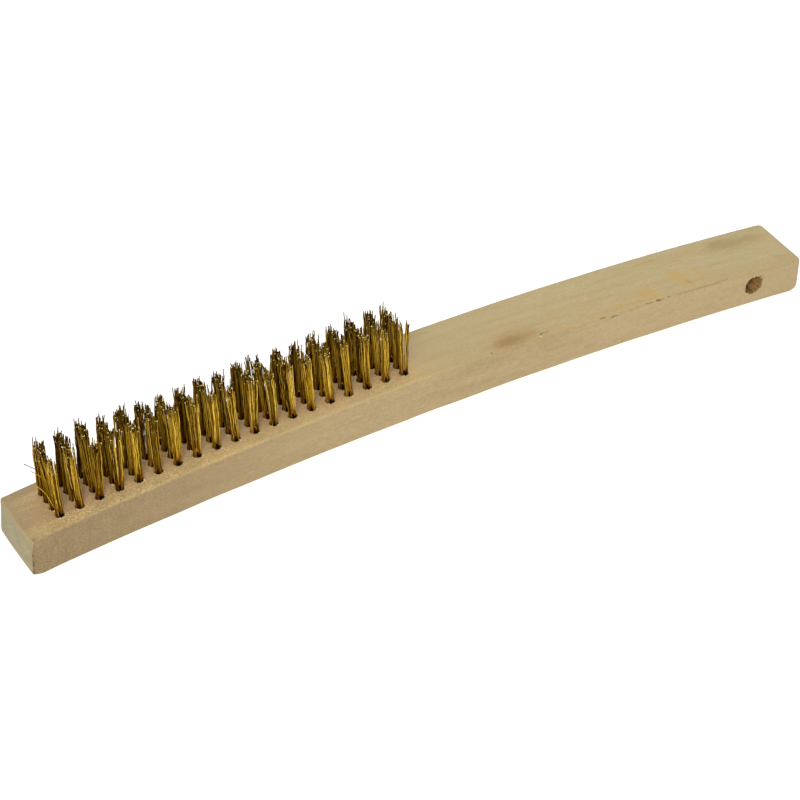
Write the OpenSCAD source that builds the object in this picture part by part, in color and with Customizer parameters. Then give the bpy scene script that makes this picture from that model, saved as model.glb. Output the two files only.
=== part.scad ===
// Long-handled scratch brush: an arched wooden block carrying nineteen rows of four
// brass wire tufts. It lies on its back, wire up, as it is set down on a bench.
// Millimetres, +Z up. Origin: middle of the length and width, on the plane it rests on.
// The toe (the end with the wire) is at -X, the tail with the hanging hole at +X.
// Every drilled hole holds one bundle of wire folded over a flat anchor wire.
// The part of a bundle inside the hole and the part that stands free are separate
// nodes, so that the free length can lean about the mouth of its hole.

/* [Block] */
// overall length of the block
block_length = 350; // [340:1:360]
// overall width of the block
block_width = 28.6; // [27.5:0.1:30]
// height of the arched underside's highest point above the resting plane
arch_rise = 7.75; // [6:0.25:9]
// height of the crest of the top face above the resting plane
crest_z = 25.6; // [24.5:0.1:26.5]
// radius of the long arc of the top face
top_radius = 1605; // [1400:5:1700]
// where along the length the top face is highest
crest_x = -6.5; // [-10:0.5:0]
// rounding along the long top edges
top_edge_radius = 1.5; // [1:0.1:2]
// rounding along the long bottom edges
bottom_edge_radius = 1.2; // [0.8:0.1:1.6]
// rounding under the tail, where the brush rests
tail_radius = 4.75; // [4:0.25:6]
// rounding under the toe, where the brush rests
toe_radius = 10; // [8:0.5:14]
// rounding of the upright corners at the tail
tail_corner_radius = 2.5; // [2:0.25:4]
// rounding of the upright corners at the toe
toe_corner_radius = 0.8; // [0.5:0.1:1.5]

/* [Hanging hole] */
// diameter of the hanging hole
hang_diameter = 8.4; // [6:0.2:9]
// distance from the tail end to the hole's centre
hang_from_tail = 24; // [20:0.2:28]
// height of the hole's centre above the resting plane
hang_z = 10.8; // [9.5:0.1:11.5]

/* [Tuft holes] */
// distance from the toe to the first row of holes
first_row = 15.2; // [14:0.1:18]
// spacing of the rows along the block
row_pitch = 8.2; // [7.9:0.05:8.5]
// spacing of the four holes across the block
line_pitch = 4.7; // [4.6:0.05:5]
// diameter of a tuft hole
hole_diameter = 3.5; // [3.4:0.05:3.6]
// depth of a tuft hole to the shoulder of its drill point
hole_depth = 12; // [11:0.25:12.5]
// lean of the holes and tufts towards the toe, degrees
lean = 3; // [0:0.25:5]

/* [Wire tufts] */
// free length of the tufts of the first row, at the toe
toe_tuft_length = 27.4; // [20:0.2:32]
// free length of the tufts of the last row, towards the tail
tail_tuft_length = 25; // [20:0.2:32]
// radius of a tuft where it leaves its hole
tuft_base_radius = 1.4; // [1.2:0.05:1.45]
// radius over the tips of a tuft
tuft_tip_radius = 2.2; // [1.6:0.05:2.3]

/* [Anchor wires] */
// thickness of the flat anchor wire
anchor_thickness = 0.4; // [0.3:0.05:0.45]
// height of the flat anchor wire
anchor_height = 1.8; // [1.5:0.1:2]
// length of an anchor, longer than the hole is wide so that its ends bite the wood
anchor_length = 4.2; // [4:0.05:4.3]

/* [Hidden] */
$fn = 48;
arc_fn = 256; // facets of the two long arcs
tuft_fn = 32; // facets of the tufts and their holes
row_count = 19;
line_count = 4;
half_length = block_length / 2;
half_width = block_width / 2;

// Rounds stand this far past the faces they blend into, so that they cross them
// instead of only touching.
blend = 0.03;
round_extra = 0.01; // added to the radii of the upright corners and the tail's rest
tail_edge_lift = 0.2; // raises the rounding of the tail's top edge
rim_depth = 60; // radial depth of the two bodies that carry the long arcs
overrun = 2; // how far cutting and blank shapes pass the block's sides
end_cut_overrun = 3;
corner_margin = 1; // how far the cuts at corners and edges pass the block
edge_cut_width = 3;
tail_edge_cut = 5;
blank_bottom = -2;
blank_height = 34;

// centre of the tail's rest, a round that reaches the resting plane
tail_rest_x = half_length - tail_radius;
// radius of the underside's arc, so that it runs into both rests
arch_radius = (tail_rest_x * tail_rest_x + pow(tail_radius - arch_rise, 2)
    - pow(tail_radius - blend, 2)) / (2 * (arch_rise - blend));
// centre of the toe's rest
toe_rest_x = -sqrt(pow(arch_radius + toe_radius - blend, 2)
    - pow(arch_radius + toe_radius - arch_rise, 2));
arch_centre_z = arch_rise - arch_radius;
top_centre_z = crest_z - top_radius;

drill_point = 0.3 * hole_diameter; // height of the cone at a hole's bottom
hole_overrun = 3; // how far the drill shape stands above the hole's mouth
root_gap = 0.1; // kept from the hole's wall, shoulder and mouth
root_radius = hole_diameter / 2 - root_gap;
root_bottom = hole_depth - root_gap;
root_bevel_width = 0.7;
root_bevel_height = 0.9;
anchor_depth = hole_depth - 3.8; // from the hole's mouth to the anchor's upper edge
anchor_slack = 0.03;
free_start = 0.35; // from the hole's mouth to the start of the free length

function top_z(x) =
    top_centre_z + sqrt(top_radius * top_radius - (x - crest_x) * (x - crest_x));
// rows count from 1 at the toe, lines from 0 at the -Y side
function row_x(row) = -half_length + first_row + (row - 1) * row_pitch;
function line_y(line) = (line - (line_count - 1) / 2) * line_pitch;
function tuft_length(row) =
    toe_tuft_length + (tail_tuft_length - toe_tuft_length) * (row - 1) / (row_count - 1);
// lower edge of a corner's cutting square, on the side (+1 or -1) of a centred span
function corner_start(side, half, radius) = side > 0 ? half - radius : -half - corner_margin;

// places its children at the mouth of each hole in a row, with +Z along the hole
module at_row_holes(row)
    for (line = [0:line_count - 1])
        translate([row_x(row), line_y(line), top_z(row_x(row))])
            rotate([0, -lean, 0])
                children();

// what rounding takes from one upright corner; end and side are the signs of its x and y
module corner_cut(end, side, radius)
    difference() {
        translate([corner_start(end, half_length, radius), corner_start(side, half_width, radius)])
            square([radius + corner_margin, radius + corner_margin]);
        translate([end * (half_length - radius), side * (half_width - radius)])
            circle(r = radius + round_extra);
    }

// outline of the block seen from above, with its four upright corners rounded
module plan()
    difference() {
        translate([-half_length, -half_width]) square([block_length, block_width]);
        for (side = [-1, 1]) {
            corner_cut(1, side, tail_corner_radius);
            corner_cut(-1, side, toe_corner_radius);
        }
    }

// profile of a rim lying from inner_x outwards, less its two rounded long edges;
// centre_x places the rounds, cut_x and cut_depth the squares they are cut from
module rim_profile(inner_x, radius, centre_x, cut_x, cut_depth) {
    centre_y = half_width - radius + blend;
    difference() {
        translate([inner_x, -half_width - overrun]) square([rim_depth, block_width + 2 * overrun]);
        for (side = [-1, 1])
            difference() {
                translate([cut_x, side > 0 ? centre_y : -centre_y - edge_cut_width])
                    square([cut_depth, edge_cut_width]);
                translate([centre_x, side * centre_y]) circle(r = radius);
            }
    }
}

// turned body whose rim is the top face, with the two long edges rounded
module top_disc() {
    centre_x = top_radius - top_edge_radius + blend;
    translate([crest_x, 0, top_centre_z]) rotate([90, 0, 0]) rotate_extrude($fn = arc_fn)
        rim_profile(inner_x = top_radius - rim_depth, radius = top_edge_radius,
                    centre_x = centre_x, cut_x = centre_x,
                    cut_depth = top_edge_radius + corner_margin);
}

// ring whose bore is the arched underside, with the two long edges rounded
module arch_ring()
    translate([0, 0, arch_centre_z]) rotate([90, 0, 0]) rotate_extrude($fn = arc_fn)
        rim_profile(inner_x = arch_radius, radius = bottom_edge_radius,
                    centre_x = arch_radius + bottom_edge_radius - blend,
                    cut_x = arch_radius - corner_margin,
                    cut_depth = bottom_edge_radius + corner_margin - blend);

// side view of what rounding takes from under one end: from the rest's centre down by
// drop, along a line roughly towards the arch's centre, and out to outer_x
module rest_cut(centre_x, radius, drop, outer_x, extra)
    difference() {
        polygon([[centre_x, radius],
                 [centre_x - drop * centre_x / arch_radius, radius - drop],
                 [outer_x, radius - drop],
                 [outer_x, radius]]);
        translate([centre_x, radius]) circle(r = radius + extra);
    }

// side view of what the rounded ends take away
module end_cuts() {
    rest_cut(tail_rest_x, tail_radius, drop = 12, outer_x = half_length + 5,
             extra = round_extra);
    rest_cut(toe_rest_x, toe_radius, drop = 20, outer_x = -half_length - 10, extra = 0);
    // top edge of the tail
    edge_x = half_length - top_edge_radius;
    edge_z = top_z(half_length) - top_edge_radius + tail_edge_lift;
    difference() {
        translate([edge_x, edge_z]) square([tail_edge_cut, tail_edge_cut]);
        translate([edge_x + blend, edge_z]) circle(r = top_edge_radius);
    }
}

module tuft_hole()
    rotate_extrude($fn = tuft_fn)
        polygon([[0, -hole_depth - drill_point],
                 [hole_diameter / 2, -hole_depth],
                 [hole_diameter / 2, hole_overrun],
                 [0, hole_overrun]]);

module anchor(slack = 0)
    translate([0, 0, -anchor_depth - anchor_height / 2])
        cube([anchor_thickness + 2 * slack, anchor_length + 2 * slack, anchor_height + 2 * slack],
             center = true);

// the folded bundle in its hole: two legs joined by the bend under the anchor
module tuft_root()
    difference() {
        rotate_extrude($fn = tuft_fn)
            polygon([[0, -root_bottom],
                     [root_radius - root_bevel_width, -root_bottom],
                     [root_radius, -root_bottom + root_bevel_height],
                     [root_radius, -root_gap],
                     [0, -root_gap]]);
        translate([-anchor_thickness / 2 - anchor_slack, -hole_diameter,
                   -anchor_depth - anchor_height - anchor_slack])
            cube([anchor_thickness + 2 * anchor_slack, 2 * hole_diameter, hole_depth]);
    }

module free_tuft(row)
    translate([0, 0, free_start])
        cylinder(r1 = tuft_base_radius, r2 = tuft_tip_radius, h = tuft_length(row) - free_start,
                 $fn = tuft_fn);

module free_row(row) color([0.72, 0.55, 0.25]) at_row_holes(row) free_tuft(row);
module root_row(row) color([0.55, 0.40, 0.16]) at_row_holes(row) tuft_root();
module anchor_row(row) color([0.62, 0.62, 0.60]) at_row_holes(row) anchor();

// arched block with its blind tuft holes, the seats the anchors cut and the hanging hole
module handle_block()
    color([0.76, 0.66, 0.48])
    difference() {
        intersection() {
            translate([0, 0, blank_bottom]) linear_extrude(height = blank_height) plan();
            top_disc();
            arch_ring();
        }
        translate([0, half_width + end_cut_overrun, 0]) rotate([90, 0, 0])
            linear_extrude(height = block_width + 2 * end_cut_overrun) end_cuts();
        translate([half_length - hang_from_tail, 0, hang_z]) rotate([90, 0, 0])
            cylinder(d = hang_diameter, h = block_width + 2 * overrun, center = true);
        for (row = [1:row_count])
            at_row_holes(row) {
                tuft_hole();
                anchor(anchor_slack);
            }
    }

// free lengths of the four tufts of each row, counted from the toe
module bristle_row_01() free_row(1);
module bristle_row_02() free_row(2);
module bristle_row_03() free_row(3);
module bristle_row_04() free_row(4);
module bristle_row_05() free_row(5);
module bristle_row_06() free_row(6);
module bristle_row_07() free_row(7);
module bristle_row_08() free_row(8);
module bristle_row_09() free_row(9);
module bristle_row_10() free_row(10);
module bristle_row_11() free_row(11);
module bristle_row_12() free_row(12);
module bristle_row_13() free_row(13);
module bristle_row_14() free_row(14);
module bristle_row_15() free_row(15);
module bristle_row_16() free_row(16);
module bristle_row_17() free_row(17);
module bristle_row_18() free_row(18);
module bristle_row_19() free_row(19);

// folded wire inside the four holes of each row
module bristle_roots_01() root_row(1);
module bristle_roots_02() root_row(2);
module bristle_roots_03() root_row(3);
module bristle_roots_04() root_row(4);
module bristle_roots_05() root_row(5);
module bristle_roots_06() root_row(6);
module bristle_roots_07() root_row(7);
module bristle_roots_08() root_row(8);
module bristle_roots_09() root_row(9);
module bristle_roots_10() root_row(10);
module bristle_roots_11() root_row(11);
module bristle_roots_12() root_row(12);
module bristle_roots_13() root_row(13);
module bristle_roots_14() root_row(14);
module bristle_roots_15() root_row(15);
module bristle_roots_16() root_row(16);
module bristle_roots_17() root_row(17);
module bristle_roots_18() root_row(18);
module bristle_roots_19() root_row(19);

// flat anchor wires across the folds of each row
module anchor_wires_01() anchor_row(1);
module anchor_wires_02() anchor_row(2);
module anchor_wires_03() anchor_row(3);
module anchor_wires_04() anchor_row(4);
module anchor_wires_05() anchor_row(5);
module anchor_wires_06() anchor_row(6);
module anchor_wires_07() anchor_row(7);
module anchor_wires_08() anchor_row(8);
module anchor_wires_09() anchor_row(9);
module anchor_wires_10() anchor_row(10);
module anchor_wires_11() anchor_row(11);
module anchor_wires_12() anchor_row(12);
module anchor_wires_13() anchor_row(13);
module anchor_wires_14() anchor_row(14);
module anchor_wires_15() anchor_row(15);
module anchor_wires_16() anchor_row(16);
module anchor_wires_17() anchor_row(17);
module anchor_wires_18() anchor_row(18);
module anchor_wires_19() anchor_row(19);

handle_block();
bristle_row_01();
bristle_row_02();
bristle_row_03();
bristle_row_04();
bristle_row_05();
bristle_row_06();
bristle_row_07();
bristle_row_08();
bristle_row_09();
bristle_row_10();
bristle_row_11();
bristle_row_12();
bristle_row_13();
bristle_row_14();
bristle_row_15();
bristle_row_16();
bristle_row_17();
bristle_row_18();
bristle_row_19();
bristle_roots_01();
bristle_roots_02();
bristle_roots_03();
bristle_roots_04();
bristle_roots_05();
bristle_roots_06();
bristle_roots_07();
bristle_roots_08();
bristle_roots_09();
bristle_roots_10();
bristle_roots_11();
bristle_roots_12();
bristle_roots_13();
bristle_roots_14();
bristle_roots_15();
bristle_roots_16();
bristle_roots_17();
bristle_roots_18();
bristle_roots_19();
anchor_wires_01();
anchor_wires_02();
anchor_wires_03();
anchor_wires_04();
anchor_wires_05();
anchor_wires_06();
anchor_wires_07();
anchor_wires_08();
anchor_wires_09();
anchor_wires_10();
anchor_wires_11();
anchor_wires_12();
anchor_wires_13();
anchor_wires_14();
anchor_wires_15();
anchor_wires_16();
anchor_wires_17();
anchor_wires_18();
anchor_wires_19();
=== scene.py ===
"""A wire brush: a bare hardwood block with 19 rows of 4 brass-wire tufts.

The block lies along X with its toe at -X and its tail at +X. The tufts stand up (+Z) on the toe
part; the rest is the grip, with a hanging hole through the tail. The near side is -Y and the far
side +Y. Shapes are worked out in millimetres and turned into metres in mesh_object.
"""

import math
from types import SimpleNamespace

import bpy
import numpy as np
from mathutils import Matrix, Vector


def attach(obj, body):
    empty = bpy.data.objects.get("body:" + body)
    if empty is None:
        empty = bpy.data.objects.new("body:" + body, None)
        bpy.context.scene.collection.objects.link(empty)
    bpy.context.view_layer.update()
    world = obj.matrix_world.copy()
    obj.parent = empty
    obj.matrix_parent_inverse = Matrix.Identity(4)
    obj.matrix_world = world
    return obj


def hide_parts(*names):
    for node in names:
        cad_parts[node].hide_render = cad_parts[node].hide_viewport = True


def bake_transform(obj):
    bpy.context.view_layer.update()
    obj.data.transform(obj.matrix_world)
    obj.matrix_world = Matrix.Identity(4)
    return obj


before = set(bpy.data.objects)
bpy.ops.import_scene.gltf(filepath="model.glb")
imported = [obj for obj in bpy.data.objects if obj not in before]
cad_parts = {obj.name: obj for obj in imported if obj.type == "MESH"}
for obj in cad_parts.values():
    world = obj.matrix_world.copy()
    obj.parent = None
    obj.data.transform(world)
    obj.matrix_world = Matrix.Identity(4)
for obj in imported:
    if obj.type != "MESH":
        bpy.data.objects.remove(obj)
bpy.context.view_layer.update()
MM = 0.001

# ---------------------------------------------------------------- dimensions, mm
HALF_LENGTH = 175.0
HALF_WIDTH = 14.3

# the top is one long arc; the underside an arch between a rounded tail and toe
CREST_X = -6.5
CREST_Z = 25.6
TOP_RADIUS = 1605.0
ARCH_RISE = 7.75
TAIL_RADIUS = 4.75
TOE_RADIUS = 10.0
ARC_OVERLAP = 0.03  # how far the end arcs run into the arch
TAIL_X = HALF_LENGTH - TAIL_RADIUS
ARCH_RADIUS = (
    TAIL_X ** 2 + (TAIL_RADIUS - ARCH_RISE) ** 2 - (TAIL_RADIUS - ARC_OVERLAP) ** 2
) / (2 * (ARCH_RISE - ARC_OVERLAP))
TOE_X = -math.sqrt(
    (ARCH_RADIUS + TOE_RADIUS - ARC_OVERLAP) ** 2 - (ARCH_RADIUS + TOE_RADIUS - ARCH_RISE) ** 2
)

# tuft holes: rows are counted from the toe, lines from the near side
ROWS = 19
LINES = 4
FIRST_ROW = 15.2  # from the toe's end
ROW_PITCH = 8.2
LINE_PITCH = 4.7
LEAN = math.radians(3.0)  # towards the toe
HOLE_RADIUS = 1.75
HOLE_DEPTH = 12.0
HOLE_SIDES = 22

# hanging hole, drilled along Y
HANG_X = HALF_LENGTH - 24.0
HANG_Z = 10.8
HANG_RADIUS = 4.2
HANG_SIDES = 40

# wires
WIRE_RADIUS = 0.2
WIRE_SIDES = 6
HAIRPINS = 16  # wires in a tuft, each with two free ends
TOE_TUFT = 27.4  # tuft height in the first row
TAIL_TUFT = 25.0  # and in the last

EDGE_SHIFT = 0.6  # near-edge cracks and chips lie this far toewards of their listed x


def top_z(x):
    across = np.asarray(x, float) - CREST_X
    return CREST_Z - TOP_RADIUS + np.sqrt(TOP_RADIUS ** 2 - across ** 2)


def bottom_z(x):
    x = np.asarray(x, float)
    z = ARCH_RISE - ARCH_RADIUS + np.sqrt(ARCH_RADIUS ** 2 - x * x)
    past_tail = np.maximum(x - TAIL_X, 0)
    past_toe = np.maximum(TOE_X - x, 0)
    tail = TAIL_RADIUS - np.sqrt(np.maximum(TAIL_RADIUS ** 2 - past_tail ** 2, 0))
    toe = TOE_RADIUS - np.sqrt(np.maximum(TOE_RADIUS ** 2 - past_toe ** 2, 0))
    z = np.where(x > TAIL_X, np.maximum(z, tail), z)
    return np.where(x < TOE_X, np.maximum(z, toe), z)


def row_x(row):
    return -HALF_LENGTH + FIRST_ROW + row * ROW_PITCH


def hole_axes(row, line):
    """Mouth of a tuft hole, and unit vectors tailwards, to the far side and up the hole."""
    x = row_x(row)
    mouth = np.array([x, (line - 1.5) * LINE_PITCH, float(top_z(x))])
    tailwards = np.array([math.cos(LEAN), 0, math.sin(LEAN)])
    rise = np.array([-math.sin(LEAN), 0, math.cos(LEAN)])
    return mouth, tailwards, np.array([0, 1.0, 0]), rise


def smooth(value, start, end):
    """Smooth step from 0 at start to 1 at end."""
    t = np.clip((np.asarray(value, float) - start) / (end - start), 0, 1)
    return t * t * (3 - 2 * t)


class Wave:
    """Smooth seeded noise: six sines with wavelengths in the given range."""

    def __init__(self, seed, lengths, dims=1):
        rng = np.random.default_rng(seed)
        ways = [rng.normal(size=dims) for _ in range(6)]
        self.ways = [
            way / np.linalg.norm(way) * 2 * math.pi / rng.uniform(*lengths) for way in ways
        ]
        self.phases = rng.uniform(0, 2 * math.pi, 6)

    def __call__(self, *coords):
        place = np.stack([np.asarray(coord, float) for coord in coords], -1)
        return sum(np.sin(place @ way + phase) for way, phase in zip(self.ways, self.phases)) / 3.0


def add_attribute(mesh, name, values):
    attribute = mesh.attributes.new(name, "FLOAT", "POINT")
    attribute.data.foreach_set("value", np.asarray(values, np.float32))


def mesh_object(name, verts, faces, attributes=None):
    """A mesh object from points in mm, a list of faces and values per point."""
    mesh = bpy.data.meshes.new(name)
    mesh.from_pydata((np.asarray(verts, float) * MM).tolist(), [], faces)
    mesh.update()
    for key, values in (attributes or {}).items():
        add_attribute(mesh, key, values)
    ob = bpy.data.objects.new(name, mesh)
    bpy.context.scene.collection.objects.link(ob)
    return ob


def gather(parts):
    """Joins (verts, faces) pairs into one pair."""
    verts, faces = [], []
    for part_verts, part_faces in parts:
        start = len(verts)
        verts += list(part_verts)
        faces += [tuple(index + start for index in face) for face in part_faces]
    return verts, faces


# ---------------------------------------------------------------- shader helpers
SOFT = {"detail": 2.0, "roughness": 0.5}  # noise without fine detail


def srgb(*levels):
    """Linear colour from 0 to 255 levels."""
    shares = [level / 255 for level in levels]
    return tuple(
        share / 12.92 if level <= 10 else ((share + 0.055) / 1.055) ** 2.4
        for level, share in zip(levels, shares)
    )


class Value:
    """An output socket. Arithmetic on it adds Math nodes."""

    def __init__(self, shader, socket):
        self.shader = shader
        self.socket = socket

    def __add__(self, other):
        return self.shader.math("ADD", self, other)

    def __sub__(self, other):
        return self.shader.math("SUBTRACT", self, other)

    def __rsub__(self, other):
        return self.shader.math("SUBTRACT", other, self)

    def __mul__(self, other):
        return self.shader.math("MULTIPLY", self, other)

    def __truediv__(self, other):
        return self.shader.math("DIVIDE", self, other)

    def __abs__(self):
        return self.shader.math("ABSOLUTE", self)

    def ramp(self, start, end, low=0.0, high=1.0):
        """Smooth step: low where the value is at start, high where it is at end."""
        node = self.shader.node("ShaderNodeMapRange", interpolation_type="SMOOTHSTEP")
        for socket, value in zip(node.inputs, (self, start, end, low, high)):
            self.shader.put(socket, value)
        return Value(self.shader, node.outputs[0])

    def blend(self, amount, colour):
        """This colour with an amount of another laid over it."""
        return self.shader.mix(amount, self, colour)


class Shader:
    """A Principled material; place is the object-space position, in mm unless told otherwise."""

    def __init__(self, name, units_per_metre=1000.0):
        self.material = bpy.data.materials.new(name)
        self.material.use_nodes = True
        self.tree = self.material.node_tree
        self.tree.nodes.clear()
        output = self.node("ShaderNodeOutputMaterial")
        self.principled = self.node("ShaderNodeBsdfPrincipled")
        self.tree.links.new(self.principled.outputs[0], output.inputs[0])
        self.coordinates = self.node("ShaderNodeTexCoord").outputs
        scaled = self.node("ShaderNodeVectorMath", operation="SCALE")
        self.tree.links.new(self.coordinates["Object"], scaled.inputs[0])
        scaled.inputs["Scale"].default_value = units_per_metre
        self.place = Value(self, scaled.outputs["Vector"])

    def node(self, kind, **settings):
        node = self.tree.nodes.new(kind)
        for key, value in settings.items():
            setattr(node, key, value)
        return node

    def put(self, socket, value):
        if isinstance(value, Value):
            self.tree.links.new(value.socket, socket)
        else:
            socket.default_value = value

    def math(self, operation, first, second=0.0):
        node = self.node("ShaderNodeMath", operation=operation)
        for socket, value in zip(node.inputs, (first, second, 0.0)):
            self.put(socket, value)
        return Value(self, node.outputs[0])

    def vector(self, operation, first, second):
        node = self.node("ShaderNodeVectorMath", operation=operation)
        self.put(node.inputs[0], first)
        self.put(node.inputs[1], second)
        return Value(self, node.outputs["Vector"])

    def split(self, vector):
        node = self.node("ShaderNodeSeparateXYZ")
        self.put(node.inputs[0], vector)
        return [Value(self, socket) for socket in node.outputs]

    def noise(self, stretch=None, shift=None, size=1.0, detail=3.0, roughness=0.6):
        """Noise; stretch is its frequency along x, y and z, shift moves it to a fresh part."""
        place = self.place
        if shift is not None:
            place = self.vector("ADD", place, (shift, shift * 0.7, shift * 1.3))
        if stretch is not None:
            place = self.vector("MULTIPLY", place, stretch)
        node = self.node("ShaderNodeTexNoise")
        self.put(node.inputs["Vector"], place)
        self.put(node.inputs["Scale"], size)
        self.put(node.inputs["Detail"], detail)
        self.put(node.inputs["Roughness"], roughness)
        return Value(self, node.outputs[0])

    def mix(self, amount, first, second):
        node = self.node("ShaderNodeMix", data_type="RGBA")
        self.put(node.inputs["Factor"], amount)
        # sockets 6 and 7 are the colours A and B, output 2 the mixed colour
        for socket, colour in ((node.inputs[6], first), (node.inputs[7], second)):
            self.put(socket, colour if isinstance(colour, Value) else (*colour, 1.0))
        return Value(self, node.outputs[2])

    def attribute(self, name):
        node = self.node("ShaderNodeAttribute", attribute_type="GEOMETRY", attribute_name=name)
        return Value(self, node.outputs["Fac"])

    def surface(self, settings):
        for name, value in settings.items():
            self.put(self.principled.inputs[name], value)

    def bump(self, height, strength, distance):
        """Relief; distance is in metres."""
        node = self.node("ShaderNodeBump")
        self.put(node.inputs["Strength"], strength)
        self.put(node.inputs["Distance"], distance)
        self.put(node.inputs["Height"], height)
        self.put(self.principled.inputs["Normal"], Value(self, node.outputs[0]))


# ---------------------------------------------------------------- the wood's marks
# Columns of the mark tables: x, y (z on the side), half length, half width, turn in degrees,
# edge (fraction of the radius where the mark is full), wobble of the outline, frequency of the
# wobble, noise shift, amount, colour.
GRIP_MARKS = (
    # brown stain
    (36.6, -9.4, 17.5, 7.0, 3, 0.15, 0.8, 0.5, 3, 0.46, (160, 130, 80)),
    (34.5, -10.0, 10.5, 4.4, 0, 0.1, 1.0, 0.9, 8, 0.56, (146, 112, 62)),
    (43.5, -9.6, 6.5, 2.4, 0, 0.2, 0.9, 0.9, 9, 0.34, (172, 128, 78)),
    # dark and pale ticks at its tail end, and a dark dot
    (48.2, -11.7, 1.5, 0.42, 16, 0.4, 0.5, 1.5, 12, 0.85, (96, 76, 46)),
    (50.6, -11.7, 1.9, 0.30, 6, 0.4, 0.5, 1.5, 13, 0.7, (116, 92, 58)),
    (47.0, -12.9, 1.1, 0.34, -30, 0.4, 0.5, 1.5, 14, 0.6, (206, 194, 160)),
    (24.2, -13.0, 0.7, 0.5, 0, 0.3, 0.4, 1.5, 16, 0.75, (112, 84, 50)),
)
# faint yellow marks towards the tail: x, y, half length, half width, turn, amount
YELLOW_MARKS = (
    (102.0, -8.0, 7.2, 6.0, -50, 0.46), (103.8, -8.6, 5.4, 1.5, -62, 0.46),
    (119.4, -4.2, 9.4, 6.6, -66, 0.44), (121.0, -5.2, 7.2, 1.8, -68, 0.56),
    (128.6, -4.0, 8.6, 3.4, -78, 0.40), (90.0, -10.0, 10.0, 3.4, -8, 0.28),
    (85.6, -9.4, 4.0, 1.3, -14, 0.32), (78.0, -12.0, 10.0, 2.2, 0, 0.18),
    (60.0, -12.2, 11.0, 2.0, 0, 0.10),
)
TAIL_MARKS = (
    # brown spot among the yellow marks
    (121.8, -8.0, 2.8, 1.6, -50, 0.15, 0.6, 1.0, 21, 0.54, (178, 132, 74)),
    # dark smudges
    (152.5, 8.0, 16.0, 6.2, 4, 0.0, 1.2, 1.0, 31, 0.60, (158, 136, 90)),
    (147.5, 10.2, 6.5, 2.4, 8, 0.0, 1.2, 1.4, 37, 0.42, (146, 122, 78)),
    (165.0, 8.5, 8.0, 4.0, 0, 0.0, 1.2, 1.2, 39, 0.48, (158, 135, 91)),
    (169.0, -7.6, 5.0, 1.4, 0, 0.0, 1.2, 1.3, 40, 0.24, (158, 134, 92)),
)
# faint dull marks on the sides: x, z, half length, half height, turn, amount, noise shift
SIDE_MARKS = (
    (70.0, 11.4, 5.0, 1.2, -4, 0.34, 41), (-137.0, 12.4, 7.0, 3.4, 10, 0.42, 43),
    (-108.0, 14.0, 14.0, 3.0, 2, 0.34, 47), (20.0, 13.0, 14.0, 1.8, -2, 0.18, 53),
    (125.0, 9.0, 10.0, 1.5, -5, 0.18, 59),
)
# pale scratches on the toe's top: x, y, half length, turn, amount
SCRATCHES = (
    (-168.2, 3.0, 6.0, -3.5, 0.60), (-170.2, -2.2, 4.6, -10.0, 0.42),
    (-164.0, 6.4, 5.0, -6.0, 0.22),
)
TOE_CORNER_MARK = (-173.9, -13.2, 3.2, 1.5, 20, 0.1, 0.9, 1.0, 93, 0.6, (108, 80, 46))

TOP_MARKS = (
    *GRIP_MARKS,
    *((x, y, length, width, turn, 0.3, 0.6, 0.4, x, amount, (192, 157, 92))
      for x, y, length, width, turn, amount in YELLOW_MARKS),
    *TAIL_MARKS,
)
SCRATCH_MARKS = tuple(
    (x, y, length, 0.28, turn, 0.4, 0.4, 1.2, x, amount, (204, 182, 140))
    for x, y, length, turn, amount in SCRATCHES
)

# dark cracks below the near top edge: first x, last x, drop below the top, half height, amount
EDGE_CRACKS = (
    (75.2, 77.6, 0.62, 0.25, 0.66), (80.0, 83.6, 1.30, 0.28, 0.68),
    (71.5, 74.4, 3.1, 0.14, 0.20), (86.5, 91.2, 0.80, 0.12, 0.30),
    (92.6, 95.6, 0.74, 0.12, 0.24), (97.4, 100.8, 0.62, 0.20, 0.56),
    (102.4, 104.4, 0.62, 0.40, 0.86), (104.6, 106.4, 0.52, 0.17, 0.50),
    (107.6, 109.0, 0.34, 0.20, 0.56), (112.0, 121.0, 0.46, 0.30, 0.22),
    (122.0, 138.0, 0.46, 0.34, 0.24),
)
# pale hairline cracks on the end faces: start y, z, end y, z, amount
END_CRACKS = (
    (10.1, 6.1, 0.4, 13.5, 0.22), (4.2, 4.9, -4.9, 11.7, 0.18),
    (-4.4, 3.0, -12.5, 11.7, 0.24), (-1.0, 2.6, -1.8, 16.0, 0.10),
)


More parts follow.
